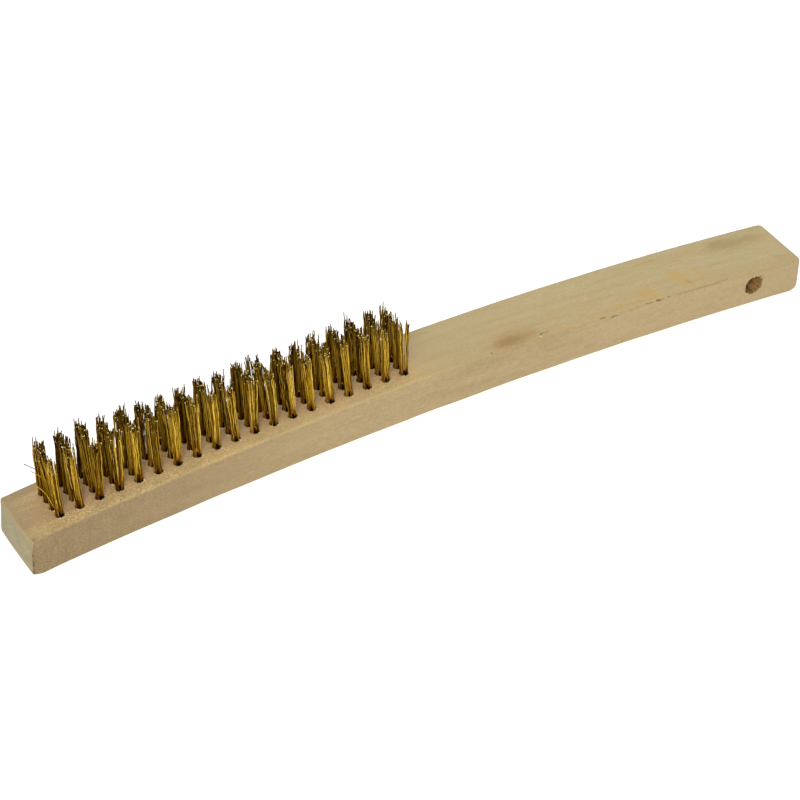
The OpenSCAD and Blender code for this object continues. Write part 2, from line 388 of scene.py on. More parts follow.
# ---------------------------------------------------------------- materials
class Hardwood(Shader):
    """Bare sanded hardwood with the marks and stains of use, and painted shade on its near lower
    edge and in the tuft holes.

    The layer methods take the wood colour and return it with a layer more. They run in the
    order they stand in, as each keeps on self the patterns that later ones need.
    """

    def __init__(self):
        super().__init__("bare_hardwood")
        self.x, self.y, self.z = self.split(self.place)
        facing_x, facing_y, self.facing_z = self.split(Value(self, self.coordinates["Normal"]))
        self.is_top = self.facing_z.ramp(0.55, 0.85)
        self.is_side = abs(facing_y).ramp(0.55, 0.85)
        self.is_end = abs(facing_x).ramp(0.6, 0.9)

    def grain(self):
        # broad soft bands that also shift in tone from the near to the far side
        self.bands = self.noise((0.005, 0.13, 0.13), shift=0.0, **SOFT)
        self.drift = self.noise((0.012, 0.05, 0.05), shift=40, **SOFT)
        tone = (self.bands * 0.6 + self.drift * 0.4 + self.y * 0.006).ramp(0.34, 0.66)
        wood = self.mix(tone, srgb(181, 159, 115), srgb(184, 168, 127))

        # growth rings round a wandering axis at y 31, z -16, seen as faint long lines
        wander = self.noise((0.006, 0.02, 0.02), shift=11, **SOFT) - 0.5
        self.waver = self.noise((0.045, 0.12, 0.12), shift=23, **SOFT) - 0.5
        ring_y = self.y - 31.0 + wander * 7.0
        ring_z = self.z + 16.0 + self.waver * 0.5
        radius = self.math("SQRT", ring_y * ring_y + ring_z * ring_z)
        ring_spacing = 2.9
        ring = self.math("FRACT", radius / ring_spacing)
        self.late = ring.ramp(0.50, 0.95) * ring.ramp(1.0, 0.97)
        patchy = self.noise((0.010, 0.10, 0.10), shift=71, **SOFT)
        patchy_late = self.late * patchy.ramp(0.38, 0.72, low=0.02, high=0.13)
        wood = wood.blend(patchy_late * (self.is_top * 0.8 + 0.2), srgb(138, 113, 72))

        # thin long fibres and streaks, weaker on the sides
        self.fibre = self.noise((0.030, 1.7, 1.7), shift=5, detail=5.0)
        off_side = 1.0 - self.is_side * 0.55
        dark_fibre = self.fibre.ramp(0.50, 0.76, high=0.16)
        wood = wood.blend(dark_fibre * off_side, srgb(140, 116, 78))
        pale_fibre = self.fibre.ramp(0.48, 0.26, high=0.16)
        wood = wood.blend(pale_fibre * off_side, srgb(208, 193, 154))
        streak = self.noise((0.007, 0.85, 0.85), shift=61, **SOFT)
        wood = wood.blend(streak.ramp(0.61, 0.70, high=0.15) * off_side, srgb(146, 122, 82))

        # fine sanded speckle and a coarser mottle
        self.speck = self.noise((0.9, 1.9, 1.9), shift=9, roughness=0.7)
        wood = wood.blend(self.speck.ramp(0.53, 0.68, high=0.26), srgb(146, 122, 84))
        wood = wood.blend(self.speck.ramp(0.47, 0.32, high=0.26), srgb(214, 198, 158))
        self.mottle = self.noise((0.35, 0.8, 0.8), shift=29)
        wood = wood.blend(self.mottle.ramp(0.54, 0.70, high=0.10), srgb(152, 126, 88))

        # short open pores
        pore = self.noise((0.42, 6.0, 6.0), shift=33, **SOFT)
        self.pores = pore.ramp(0.66, 0.74) * (1.0 - self.is_end)
        wood = wood.blend(self.pores * 0.22, srgb(122, 96, 58))

        # broad blotches, warm and greenish by turns
        blotch = self.noise((0.09, 0.30, 0.30), shift=87)
        wood = wood.blend(blotch.ramp(0.50, 0.66, high=0.30), srgb(184, 155, 105))
        return wood.blend(blotch.ramp(0.48, 0.34, high=0.30), srgb(182, 174, 131))

    def sides(self, wood):
        """Makes the sides plainer and browner, with their own blotches, lines and grit."""
        side = self.is_side
        plain = side * 0.75
        shade = self.mix(self.mottle.ramp(0.3, 0.7), srgb(169, 148, 110), srgb(160, 138, 99))
        wood = wood.blend(plain, shade)
        blotch = self.noise((0.035, 0.22, 0.24), shift=97, roughness=0.55)
        wood = wood.blend(side * blotch.ramp(0.50, 0.66, high=0.30), srgb(182, 158, 118))
        wood = wood.blend(side * blotch.ramp(0.48, 0.34, high=0.26), srgb(150, 130, 96))
        lines = self.noise((0.012, 0.9, 0.9), shift=99, roughness=0.55)
        wood = wood.blend(side * lines.ramp(0.56, 0.68, high=0.13), srgb(148, 122, 84))
        # paler towards the tail
        wood = wood.blend(side * self.x.ramp(25.0, 90.0, high=0.34), srgb(190, 167, 126))
        grit = self.noise((0.7, 1.5, 1.5), shift=103, roughness=0.7)
        wood = wood.blend(side * grit.ramp(0.52, 0.66, high=0.26), srgb(146, 122, 88))
        return wood.blend(side * grit.ramp(0.48, 0.34, high=0.26), srgb(196, 174, 134))

    def dull_toe(self, wood):
        """Turns the toe duller and greyer, coarsely speckled and rubbed."""
        self.toe = (self.x + (self.drift - 0.5) * 40.0).ramp(-20.0, -178.0)
        self.grit = self.noise((1.0, 1.6, 1.6), shift=83, roughness=0.7)
        dull = self.mix(self.grit.ramp(0.36, 0.64), srgb(128, 107, 75), srgb(149, 128, 93))
        dull = dull.blend(self.mottle.ramp(0.55, 0.72, high=0.30), srgb(122, 96, 64))
        amount = self.toe * (self.is_side * 0.92 + self.is_top * 0.60)
        wood = wood.blend(self.math("MINIMUM", amount, 0.92), dull)
        rub = self.noise((0.40, 0.1, 0.22))
        for start, end, colour in (
            (0.54, 0.70, srgb(112, 92, 62)),
            (0.46, 0.32, srgb(166, 145, 106)),
        ):
            amount = self.is_side * self.toe * rub.ramp(start, end, high=0.22)
            wood = wood.blend(amount, colour)
        return wood

    def tuft_field(self, wood):
        """Yellow speckled strip near the tufts' near side, pinkish dust between the holes."""
        x = self.x
        wobble = (self.noise((0.05, 0.05, 0.05), shift=19, **SOFT) - 0.5) * 3.2
        strip_y = self.y + wobble
        strip = strip_y.ramp(-5.0, -8.4) * strip_y.ramp(-15.6, -12.2)
        facing_up = self.facing_z.ramp(0.15, 0.95)
        self.strip = strip * facing_up * (x.ramp(16.0, -22.0) * x.ramp(-182.0, -166.0))
        self.strip_speck = self.noise((1.4, 1.7, 1.7), shift=77, detail=5.0, roughness=0.8)
        speckle = self.strip_speck.ramp(0.40, 0.60)
        colour = self.mix(speckle, srgb(160, 130, 76), srgb(238, 212, 152))
        colour = colour.blend(x.ramp(-150.0, -168.0, high=0.4), srgb(172, 144, 96))
        colour = colour.blend(x.ramp(-140.0, -75.0, high=0.55), srgb(200, 171, 117))
        patch = self.noise((0.10, 0.25, 0.25), shift=79, **SOFT)
        wood = wood.blend(self.strip * patch.ramp(0.36, 0.64, low=0.50, high=0.84), colour)

        field = abs(self.y + 0.8).ramp(11.6, 9.0) * self.is_top
        field = field * (x.ramp(2.0, -12.0) * x.ramp(-178.0, -158.0))
        speckle = self.strip_speck.ramp(0.42, 0.60)
        dust = self.mix(speckle, srgb(192, 156, 108), srgb(224, 190, 142))
        return wood.blend(field * (1.0 - self.strip * 0.6) * 0.72, dust)

    def mark(self, wood, row, on_side=False):
        """Lays one row of a mark table on the top or the sides."""
        x, v, length, width, turn, edge, wobble, frequency, shift, amount, colour = row
        if x > 0 and not on_side:
            # marks on the tail half sit a little toewards and nearer than listed, more so
            # towards the tail
            past_grip = max(x - 40, 0)
            x = x - 0.3 - 0.005 * past_grip
            v = v - 0.4 - 0.0075 * past_grip
        from_x = self.x - x
        from_v = (self.z if on_side else self.y) - v
        cos, sin = math.cos(math.radians(turn)), math.sin(math.radians(turn))
        along = (from_x * cos + from_v * sin) / length
        across = (from_v * cos - from_x * sin) / width
        distance = self.math("SQRT", along * along + across * across)
        ragged = self.noise((frequency * 0.5, frequency, frequency), shift=shift) - 0.5
        distance = distance + ragged * wobble
        face = self.is_side if on_side else self.is_top
        return wood.blend(distance.ramp(1.0, edge) * face * amount, srgb(*colour))

    def marks(self, wood):
        # the grip is a little browner next to the tufts
        browner = self.x.ramp(-16.0, -4.0) * self.x.ramp(78.0, 20.0) * (self.is_top * 0.30)
        wood = wood.blend(browner, srgb(168, 144, 102))
        for row in TOP_MARKS:
            wood = self.mark(wood, row)
        for x, z, length, height, turn, amount, shift in SIDE_MARKS:
            row = (x, z, length, height, turn, 0.0, 1.1, 0.7, shift, amount, (138, 114, 80))
            wood = self.mark(wood, row, on_side=True)
        for row in (*SCRATCH_MARKS, TOE_CORNER_MARK):
            wood = self.mark(wood, row)
        return wood

    def edge_cracks(self, wood):
        from_crest = (self.x - CREST_X) * (self.x - CREST_X)
        crest = CREST_Z - from_crest * (1 / (2 * TOP_RADIUS))
        below = crest - self.z + self.waver * 0.9
        ragged = (self.noise((1.4, 1.4, 1.4), shift=91, roughness=0.7) - 0.5) * 0.9
        fade = 0.5  # half length of each crack's fading end
        for first, last, drop, half, amount in EDGE_CRACKS:
            first, last = first - EDGE_SHIFT, last - EDGE_SHIFT
            line = (abs(below - drop) + ragged * half).ramp(half, half * 0.3)
            line = line * (
                (self.x + ragged * 2.0).ramp(first - fade, first + fade)
                * (self.x + ragged * 2.0).ramp(last + fade, last - fade)
            )
            near_face = self.y.ramp(-12.7, -13.6)
            wood = wood.blend(line * near_face * amount, srgb(82, 64, 38))
        return wood

    def end_grain(self, wood):
        """Greyer end faces with pits, saw lines and hairline cracks."""
        self.pits = self.noise((0.3, 3.6, 3.6), shift=15, roughness=0.7)
        end = self.mix(self.bands.ramp(0.35, 0.65), srgb(162, 151, 116), srgb(154, 143, 109))
        end = end.blend(self.late * 0.12, srgb(130, 116, 82))
        end = end.blend(self.pits.ramp(0.5, 0.68, high=0.30), srgb(122, 109, 80))
        # saw lines up the face, then across it
        self.saw = self.noise((0.1, 1.5, 0.07))
        end = end.blend(self.saw.ramp(0.58, 0.70, high=0.12), srgb(204, 196, 164))
        cross_saw = self.noise((0.1, 0.09, 1.6))
        end = end.blend(cross_saw.ramp(0.60, 0.72, high=0.16), srgb(196, 186, 152))
        blotch = self.noise((0.1, 0.22, 0.22))
        end = end.blend(blotch.ramp(0.50, 0.66, high=0.35), srgb(166, 146, 106))
        end = end.blend(blotch.ramp(0.46, 0.34, high=0.30), srgb(158, 154, 122))
        # the upper part is browner, like the top
        end = end.blend(self.z.ramp(13.8, 17.2, high=0.7), srgb(173, 151, 109))
        for start_y, start_z, end_y, end_z, amount in END_CRACKS:
            length = math.hypot(end_y - start_y, end_z - start_z)
            way_y, way_z = (end_y - start_y) / length, (end_z - start_z) / length
            bend = (self.noise((0.0, 0.30, 0.30)) - 0.5) * 1.7
            from_y, from_z = self.y - start_y, self.z - start_z
            along = from_y * way_y + from_z * way_z
            distance = abs(from_y * way_z - from_z * way_y + bend)
            line = distance.ramp(0.24, 0.06) * along.ramp(-1.0, 1.5)
            line = line * along.ramp(length + 1.0, length - 1.5)
            end = end.blend(line * amount, srgb(208, 200, 168))
        return wood.blend(self.is_end, end)

    def edges_and_holes(self, wood):
        """Grimy edges with painted shade on the near lower one, painted shade in the tuft holes,
        and the bare wall of the hanging hole.
        """
        edge = self.attribute("edge")
        # the edge attribute carries grime, and painted shade on the near lower long edge
        grime_and_shade = self.noise((0.25, 0.5, 0.5), shift=55)
        wood = wood.blend(edge * grime_and_shade.ramp(0.35, 0.65, low=0.35, high=0.85), srgb(104, 84, 56))
        worst = edge.ramp(0.70, 0.95) * grime_and_shade.ramp(0.38, 0.60, low=0.15, high=0.85)
        wood = wood.blend(worst, srgb(78, 56, 30))
        # painted shade: the tuft holes turn near black with depth
        hole = self.attribute("hole")
        streaks = self.noise((3.0, 3.0, 0.6), shift=65)
        inside = self.mix(streaks, srgb(17, 10, 4), srgb(38, 23, 10))
        wood = wood.blend(hole.ramp(0.0, 0.5), inside)
        bore = self.attribute("bore")
        ridges = self.noise((0.9, 0.10, 0.9), shift=17, roughness=0.55)
        wall = self.mix(ridges.ramp(0.36, 0.64), srgb(120, 82, 40), srgb(180, 143, 88))
        return wood.blend(bore * 0.92, wall)

    def relief(self):
        """Fibres, pores, rings, faint cross ripples and the rougher areas."""
        ripple_length = 1.45
        ripple = self.math("SINE", self.x * (2 * math.pi / ripple_length) + self.waver * 5.0)
        height = self.fibre * 0.40 + self.speck * 0.35 - self.pores * 0.5 - self.late * 0.06
        height = height + ripple * 0.02 * (1.0 - self.is_end)
        height = height + self.toe * self.grit * 0.45
        height = height + self.strip * self.strip_speck * 0.5
        return height + self.is_end * (self.pits + self.saw) * 0.6


def wood_material():
    shader = Hardwood()
    wood = shader.grain()
    for layer in (shader.sides, shader.dull_toe, shader.tuft_field, shader.marks,
                  shader.edge_cracks, shader.end_grain, shader.edges_and_holes):
        wood = layer(wood)
    shader.surface({
        "Base Color": wood,
        "Roughness": shader.fibre.ramp(0.3, 0.7, low=0.66, high=0.82),
        "Specular IOR Level": 0.22,
    })
    shader.bump(shader.relief(), strength=0.35, distance=0.00022)
    return shader.material


def splinter_material():
    """Torn pale fibres."""
    shader = Shader("torn_fibres")
    fibre = shader.noise((1.0, 4.0, 4.0))
    shader.surface({
        "Base Color": shader.mix(
            fibre.ramp(0.35, 0.65), srgb(208, 180, 138), srgb(240, 222, 186)
        ),
        "Roughness": 0.8,
        "Specular IOR Level": 0.2,
    })
    shader.bump(fibre, strength=0.3, distance=0.00005)
    return shader.material


def wire_material():
    """Drawn brass: each wire has its own tone, partly painted shade and highlight, with tarnish in
    patches, painted glints and painted shade at the roots.
    """
    shader = Shader("brass_wire")
    tone = shader.attribute("tone")
    along = shader.attribute("along")
    mottle = shader.noise((1.7, 1.7, 0.42), roughness=0.65)
    fine = shader.noise((7.0, 7.0, 0.5), detail=2.0)
    flash = shader.noise((1.7, 1.7, 1.0), detail=2.0)
    # from dark through gold to bright with the wire's tone, partly random and partly painted shade
    # (dark wires) and painted highlight (the brightest)
    brass = shader.mix(tone.ramp(0.0, 0.50), srgb(52, 30, 3), srgb(168, 128, 22))
    brass = brass.blend(tone.ramp(0.45, 0.95), srgb(230, 192, 70))
    brass = brass.blend(tone.ramp(0.97, 1.0), srgb(244, 212, 108))
    # tarnish and fine bright lines
    brass = brass.blend(mottle.ramp(0.50, 0.66, high=0.56), srgb(92, 54, 6))
    brass = brass.blend(fine.ramp(0.55, 0.75, high=0.30), srgb(226, 184, 70))
    # darker and duller towards the tips, painted shade (darker and more orange) towards the roots,
    # and painted glints on the upper part
    brass = brass.blend(along.ramp(0.74, 1.0, high=0.60), srgb(50, 32, 8))
    brass = brass.blend(along.ramp(0.34, 0.0, high=0.46), srgb(132, 74, 6))
    glint = flash.ramp(0.63, 0.68) * along.ramp(0.55, 0.85)
    brass = brass.blend(glint * 0.9, srgb(250, 210, 110))
    # painted shade darkens the wires in the hole and just above its mouth; cut faces are paler
    # fresh brass, painted near white as glints
    brass = brass.blend(shader.attribute("root").ramp(0.0, 1.0, high=0.92), srgb(26, 14, 3))
    brass = brass.blend(shader.attribute("cut"), srgb(255, 232, 160))
    shader.surface({
        "Base Color": brass,
        # less metallic on the cut faces, so that their painted glint shows
        "Metallic": 0.70 - shader.attribute("cut") * 0.45,
        "Specular IOR Level": 0.35,
        "Specular Tint": (0.86, 0.62, 0.24, 1.0),
        "Roughness": mottle.ramp(0.35, 0.7, low=0.34, high=0.55) + along.ramp(0.6, 1.0) * 0.10,
    })
    shader.bump(fine + mottle, strength=0.25, distance=0.00003)
    return shader.material


def anchor_material():
    """Flat galvanised wire: dull zinc with rolled lines and darker patches."""
    shader = Shader("galvanised_flat_wire")
    lines = shader.noise((2.0, 0.4, 9.0))
    patch = shader.noise(size=0.9)
    zinc = shader.mix(patch.ramp(0.35, 0.65), srgb(150, 150, 146), srgb(104, 102, 96))
    zinc = zinc.blend(lines.ramp(0.5, 0.7, high=0.4), srgb(190, 190, 184))
    shader.surface({
        "Base Color": zinc,
        "Metallic": 0.9,
        "Roughness": patch.ramp(0.35, 0.65, low=0.38, high=0.58),
    })
    shader.bump(lines, strength=0.3, distance=0.00004)
    return shader.material


def floor_material():
    """Pale matt floor with a glow of its own."""
    shader = Shader("pale_floor", units_per_metre=1.0)
    cloud = shader.noise(size=3.0, **SOFT)
    shader.surface({
        "Base Color": shader.mix(cloud.ramp(0.3, 0.7), (0.50, 0.50, 0.50), (0.52, 0.52, 0.52)),
        "Roughness": 0.9,
        "Specular IOR Level": 0.1,
        "Emission Color": (1.0, 1.0, 1.0, 1.0),
        "Emission Strength": 0.76,
    })
    return shader.material


# ---------------------------------------------------------------- the wooden block
def stations():
    """Section positions along X: fine at the rounded ends, about 1 mm apart elsewhere."""
    toe_round, tail_round = 0.62, 5.8
    xs = [
        -HALF_LENGTH + toe_round * (1 - math.cos(t * math.pi / 2)) for t in np.linspace(0, 1, 9)
    ]
    xs += [-HALF_LENGTH + 1.0, -HALF_LENGTH + 1.6]
    xs += list(np.arange(-HALF_LENGTH + 2.4, HALF_LENGTH - 6.2, 1.0))
    for t in np.linspace(0, 1, 16):
        xs.append(HALF_LENGTH - tail_round + tail_round * math.sin(t * math.pi / 2))
    return np.array(sorted(set(round(x, 5) for x in xs)))


def round_off(radius, from_end):
    """How far a rounded corner has drawn in at a distance from the end."""
    if from_end >= radius:
        return 0.0
    return radius - math.sqrt(max(radius * radius - (radius - from_end) ** 2, 0))


def block_section(x, wear):
    """One section, from the near end of the underside: (y, z) points and their edge values."""
    flat_steps, side_steps, arc_steps = 26, 15, 6
    from_toe, from_tail = x + HALF_LENGTH, HALF_LENGTH - x
    # upright corners rounded at both ends, and so are the top edges of the ends
    width = HALF_WIDTH - round_off(2.5, from_tail) - round_off(0.45, from_toe)
    top = float(top_z(x)) - round_off(1.5, from_tail) - round_off(0.9, from_toe)
    bottom = float(bottom_z(x))
    # radii of the long edges; the lower ones are crisper at the toe
    crisp = 0.45 + 0.55 * float(smooth(x, -173.5, -160.0))
    top_near = 1.4 * (1 + 0.14 * wear[0](x))
    top_far = 1.3 * (1 + 0.06 * wear[1](x))
    low_near = 1.1 * crisp * (1 + 0.10 * wear[2](x))
    low_far = 1.1 * crisp * (1 + 0.08 * wear[3](x))
    points, edge = [], []

    def arc(y, z, radius, start, end):
        for k in range(1, arc_steps):
            angle = math.radians(start + (end - start) * k / arc_steps)
            points.append((y + radius * math.cos(angle), z + radius * math.sin(angle)))
            edge.append(math.sin(math.pi * k / arc_steps))

    def run(start, end, steps):
        for k in range(steps + 1):
            points.append(tuple(a + (b - a) * k / steps for a, b in zip(start, end)))
            edge.append(0.0)

    run((-width + low_near, bottom), (width - low_far, bottom), flat_steps)
    arc(width - low_far, bottom + low_far, low_far, -90, 0)
    run((width, bottom + low_far), (width, top - top_far), side_steps)
    arc(width - top_far, top - top_far, top_far, 0, 90)
    run((width - top_far, top), (-width + top_near, top), flat_steps)
    arc(-width + top_near, top - top_near, top_near, 90, 180)
    run((-width, top - top_near), (-width, bottom + low_near), side_steps)
    arc(-width + low_near, bottom + low_near, low_near, 180, 270)
    return points, edge


def block_shell():
    """The plain closed block: verts, faces and edge values."""
    wear = [Wave(seed, (9, 60)) for seed in (101, 102, 103, 104)]
    xs = stations()
    verts, edges, faces = [], [], []
    for x in xs:
        points, edge = block_section(x, wear)
        verts += [(x, y, z) for y, z in points]
        edges += edge
    n = len(points)
    for i in range(len(xs) - 1):
        a, b = i * n, (i + 1) * n
        for k in range(n):
            after = (k + 1) % n
            faces.append((a + k, b + k, b + after, a + after))
    # end faces: rings that shrink to a middle point
    for end in (0, len(xs) - 1):
        ring = list(range(end * n, end * n + n))
        loop = np.array([verts[i] for i in ring], float)
        middle = loop.mean(0)
        for share in (0.93, 0.80, 0.62, 0.40, 0.18):
            start = len(verts)
            verts += [tuple(middle + (point - middle) * share) for point in loop]
            edges += [0.0] * n
            inner = list(range(start, start + n))
            for k in range(n):
                after = (k + 1) % n
                face = (ring[k], ring[after], inner[after], inner[k])
                faces.append(face if end == 0 else face[::-1])
            ring = inner
        tip = len(verts)
        verts.append(tuple(middle))
        edges.append(0.0)
        for k in range(n):
            face = (ring[k], ring[(k + 1) % n], tip)
            faces.append(face if end == 0 else face[::-1])
    return np.array(verts, float), faces, np.array(edges, float)


def weather(v, edge):
    """Wears the block's points in place."""
    # the toe's near top corner is knocked in
    corner = np.array([-HALF_LENGTH, -HALF_WIDTH, float(top_z(-HALF_LENGTH))])
    distance = np.linalg.norm((v - corner) * np.array([1, 1, 0.8]), axis=1)
    v += (smooth(distance, 5.5, 0.0) * 1.15)[:, None] * np.array([0.62, 0.50, -0.62])
    # the toe's end is sawn a little out of square
    across = (np.clip(v[:, 1] + HALF_WIDTH, 0, None) / (2 * HALF_WIDTH)) ** 2.6
    upward = 0.55 + 0.35 * smooth(v[:, 2], 3.0, 12.0)
    v[:, 0] += 1.3 * across * smooth(v[:, 0], -166.0, -174.9) * upward
    # soft unevenness of the sides, then of the top and underside, away from the ends
    for axis, seed in ((1, 201), (2, 202)):
        wave = Wave(seed, (14, 70), 3)
        off_ends = smooth(HALF_LENGTH - np.abs(v[:, 0]), 0, 6)
        v[:, axis] += 0.022 * wave(v[:, 0], v[:, 1] * 2, v[:, 2] * 2) * off_ends
    # small nicks along the long edges, inwards and down
    nick = Wave(203, (2.0, 6.0), 3)
    still = np.zeros(len(v))
    inward = np.stack([still, -np.sign(v[:, 1]), still - 1], 1)
    v += (edge * 0.022 * nick(v[:, 0], v[:, 1], v[:, 2]))[:, None] * inward


def edge_grime_and_shade(v, edge):
    """How grimy or shaded each point of the block is; the near lower long edge carries painted
    shade.
    """
    x, y, z = v.T
    toewards = 0.10 + 0.30 * smooth(x, -120, -165)
    grime_and_shade = edge * toewards * smooth(y, -16, -10) * 0.6
    toe_end = smooth(x, -171.5, -174.6) * smooth(x, -175.2, -174.0)
    grime_and_shade = np.maximum(grime_and_shade, toe_end * 0.10)
    # the near lower long edge, darkened as painted shade, and the far upper long edge
    low = z < 0.5 * top_z(np.clip(x, -174, 174))
    long_edges = np.where(low & (y < 0), 0.50, np.where(~low & (y > 0), 0.34, 0.0))
    grime_and_shade = np.maximum(grime_and_shade, long_edges * edge)
    # the rim of the tail's end
    grime_and_shade = np.maximum(grime_and_shade, 0.34 * smooth(x, 173.6, 174.8) * (x < HALF_LENGTH - 0.001))
    # the toe's near upright corner
    return np.maximum(grime_and_shade, 0.86 * smooth(-y, 13.75, 14.1) * smooth(-x, 174.15, 174.55))


def tube_cutter(centre, axes, levels, sides, rough, seed):
    """A closed ragged tube: rings of (distance along the third axis, radius, raggedness)."""
    rng = np.random.default_rng(seed)
    first, second, along = axes
    angles = np.linspace(0, 2 * math.pi, sides, endpoint=False)
    lumps = [
        rng.uniform(-1, 1) * np.sin(k * angles + rng.uniform(0, 6.28)) for k in (2, 3, 5, 7)
    ]
    lump = sum(lumps) / 2.0
    verts, faces = [], []
    for distance, radius, ragged in levels:
        radii = radius * (1 + rough * lump) + ragged * rng.uniform(-1, 1, sides)
        for r, angle in zip(radii, angles):
            verts.append(centre + along * distance
                         + first * (r * math.cos(angle)) + second * (r * math.sin(angle)))
    for i in range(len(levels) - 1):
        a, b = i * sides, (i + 1) * sides
        for k in range(sides):
            after = (k + 1) % sides
            faces.append((a + k, a + after, b + after, b + k))
    faces.append(tuple(reversed(range(sides))))
    faces.append(tuple((len(levels) - 1) * sides + k for k in range(sides)))
    return verts, faces


def tuft_hole_cutters():
    levels = [
        (-HOLE_DEPTH - 0.9, 0.25, 0), (-HOLE_DEPTH, HOLE_RADIUS, 0.0),
        (-4.0, HOLE_RADIUS, 0.02), (-1.0, HOLE_RADIUS, 0.03),
        (-0.35, HOLE_RADIUS + 0.02, 0.05), (0.05, HOLE_RADIUS + 0.10, 0.09),
        (1.2, HOLE_RADIUS + 0.35, 0.0),
    ]
    cutters = []
    for row in range(ROWS):
        for line in range(LINES):
            mouth, *axes = hole_axes(row, line)
            seed = 1000 + row * LINES + line
            cutters.append(tube_cutter(mouth, axes, levels, HOLE_SIDES, rough=0.02, seed=seed))
    return cutters


def hang_hole_cutter():
    """The hanging hole, ragged at both mouths and fluted along its wall."""
    levels = [(-15.9, HANG_RADIUS + 0.5, 0.05), (-14.05, HANG_RADIUS + 0.12, 0.12)]
    levels += [(float(y), HANG_RADIUS, 0.05) for y in np.linspace(-12.9, 12.9, 12)]
    levels += [
        (13.5, HANG_RADIUS + 0.03, 0.09), (14.2, HANG_RADIUS + 0.16, 0.16),
        (15.9, HANG_RADIUS + 0.6, 0.05),
    ]
    axes = (np.array([1.0, 0, 0]), np.array([0, 0, 1.0]), np.array([0, -1.0, 0]))
    centre = np.array([HANG_X, 0, HANG_Z])
    verts, faces = tube_cutter(centre, axes, levels, HANG_SIDES, rough=0.016, seed=77)
    # flutes: noise round the wall, smoothed without a seam
    raw = np.random.default_rng(5).uniform(-0.34, 0.24, HANG_SIDES)
    window = np.hanning(9) / np.hanning(9).sum()
    flutes = np.convolve(np.tile(raw, 3), window, "same")[HANG_SIDES:2 * HANG_SIDES]
    verts = np.array(verts)
    axis = verts.copy()
    axis[:, [0, 2]] = HANG_X, HANG_Z
    growth = np.tile(1 + flutes / HANG_RADIUS, len(levels))
    return list(axis + (verts - axis) * growth[:, None]), faces


def chip(centre, size, seed, turn=0.0):
    """A small ragged closed lump that chips an edge; turn is about Y, in radians."""
    rng = np.random.default_rng(seed)
    rows, cols = 5, 8
    verts = [np.array([0, 0, -1.0])]
    for i in range(1, rows):
        down = math.pi * i / rows
        for k in range(cols):
            around = 2 * math.pi * k / cols
            point = np.array([math.sin(down) * math.cos(around),
                              math.sin(down) * math.sin(around), -math.cos(down)])
            verts.append(point * rng.uniform(0.72, 1.18))
    verts.append(np.array([0, 0, 1.0]))
    last = len(verts) - 1
    faces = []
    for k in range(cols):
        after = (k + 1) % cols
        faces.append((0, 1 + after, 1 + k))
        faces.append((last, last - cols + k, last - cols + after))
    for i in range(rows - 2):
        for k in range(cols):
            a, b = 1 + i * cols + k, 1 + i * cols + (k + 1) % cols
            faces.append((a, b, b + cols, a + cols))
    cos, sin = math.cos(turn), math.sin(turn)
    rotation = np.array([[cos, 0, sin], [0, 1, 0], [-sin, 0, cos]])
    return [np.asarray(centre) + rotation @ (v * np.asarray(size)) for v in verts], faces


# chips round the near mouth of the hanging hole: degrees, distance from its axis, size, seed
RIM_CHIPS = (
    (50, 4.35, (0.95, 0.9, 0.85), 301), (24, 4.35, (0.6, 0.8, 0.85), 302),
    (88, 4.30, (0.62, 0.7, 0.60), 303), (205, 4.3, (0.6, 0.5, 0.5), 304),
    (328, 4.35, (0.5, 0.6, 0.6), 306),
)
# chips along the near top edge: x, half length, drop below the top, seed
TOP_EDGE_CHIPS = (
    (76.4, 1.15, 0.62, 401), (81.8, 1.6, 1.30, 402), (98.4, 2.4, 0.62, 403),
    (103.4, 1.0, 0.60, 404), (105.4, 0.9, 0.52, 405), (108.3, 0.8, 0.36, 406),
)
# chips of the toe's end: (y, seed) along its top edge, (z, seed) up its near corner
TOE_TOP_CHIPS = ((-9.2, 431), (-3.4, 432), (4.6, 433), (10.3, 434))
TOE_CORNER_CHIPS = ((4.1, 451), (8.7, 452), (12.6, 453))


def rim_chips():
    chips = []
    for degrees, distance, size, seed in RIM_CHIPS:
        angle = math.radians(degrees)
        centre = (HANG_X + distance * math.cos(angle), -HALF_WIDTH - 0.05,
                  HANG_Z + distance * math.sin(angle))
        chips.append(chip(centre, size, seed, turn=0.3 * (seed - 300)))
    return chips


def edge_chips():
    chips = []
    for x, length, drop, seed in TOP_EDGE_CHIPS:
        # the rounded edge stands further in close to the top
        y = -HALF_WIDTH - 0.02 + max(0.0, 0.9 - drop) * 0.42
        centre = (x - EDGE_SHIFT, y, float(top_z(x - EDGE_SHIFT)) - drop)
        slope = math.asin((x - CREST_X) / TOP_RADIUS)
        chips.append(chip(centre, (length, 0.30, 0.20), seed, turn=slope))
    for y, seed in TOE_TOP_CHIPS:
        centre = (-175.15, y, float(top_z(-HALF_LENGTH)) - 0.5)
        chips.append(chip(centre, (0.42, 0.8, 0.36), seed))
    for z, seed in TOE_CORNER_CHIPS:
        chips.append(chip((-174.8, -HALF_WIDTH + 0.05, z), (0.30, 0.24, 0.7), seed))
    return chips


def cut(ob, parts, name):
    """Subtracts closed shells from the object's mesh."""
    cutter = mesh_object(name, *gather(parts))
    modifier = ob.modifiers.new(name, "BOOLEAN")
    modifier.operation = "DIFFERENCE"
    modifier.object = cutter
    modifier.solver = "MANIFOLD"
    depsgraph = bpy.context.evaluated_depsgraph_get()
    depsgraph.update()
    mesh = bpy.data.meshes.new_from_object(ob.evaluated_get(depsgraph), depsgraph=depsgraph)
    ob.modifiers.remove(modifier)
    old = ob.data
    ob.data = mesh
    bpy.data.meshes.remove(old)
    bpy.data.objects.remove(cutter)


